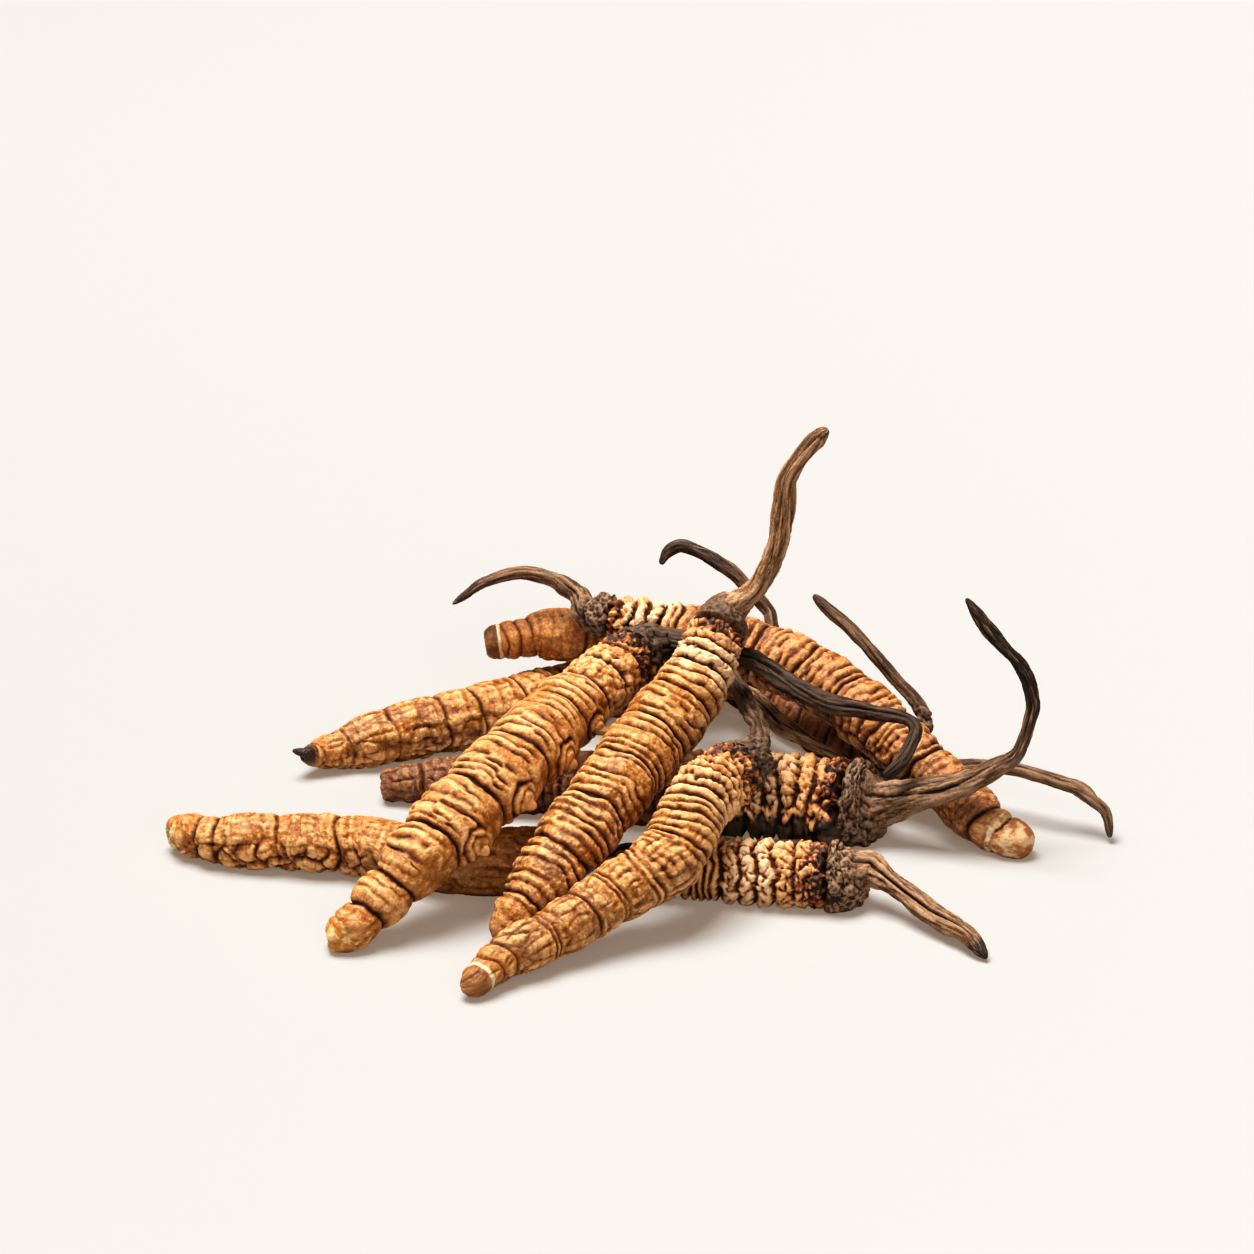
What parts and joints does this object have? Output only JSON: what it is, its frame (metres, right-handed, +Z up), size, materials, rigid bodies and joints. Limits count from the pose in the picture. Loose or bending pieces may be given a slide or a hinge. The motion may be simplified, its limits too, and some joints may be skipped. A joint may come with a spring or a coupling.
{
  "type": "dried cordyceps bundle",
  "caption": "Loose heap of dried cordyceps fungus: ridged tan larvae lying across one another, each with a thin dark curving stalk growing from its head.",
  "frame": {"origin": "middle of the heap's bounding box, on the surface it rests on", "axes": "+Z up; +X to the right and -Y towards the viewer as the heap is seen in the picture"},
  "size_m": [0.089, 0.0715, 0.0377],
  "materials": {
    "larva_tan": "dried, wrinkled insect skin, dull ochre with cream ridges and brown creases",
    "larva_brown": "dried, wrinkled insect skin, darker brown",
    "stalk": "dried fungus stalk, dark grey-brown, matt, finely furrowed"
  },
  "bodies": {
    "root": {"larva_leaning": "larva_tan", "larva_tall": "larva_tan", "larva_bent": "larva_tan", "larva_broad": "larva_brown", "larva_low_left": "larva_tan", "larva_low_right": "larva_tan", "larva_long": "larva_brown", "larva_perched": "larva_tan", "larva_rear": "larva_tan", "larva_buried": "larva_brown", "stalk_leaning": "stalk", "stalk_tall": "stalk", "stalk_bent": "stalk", "stalk_broad": "stalk", "stalk_low_left": "stalk", "stalk_low_right": "stalk", "stalk_long": "stalk", "stalk_perched": "stalk", "stalk_rear": "stalk", "stalk_buried_outer": "stalk", "stalk_buried_upper": "stalk"}
  },
  "joints": []
}
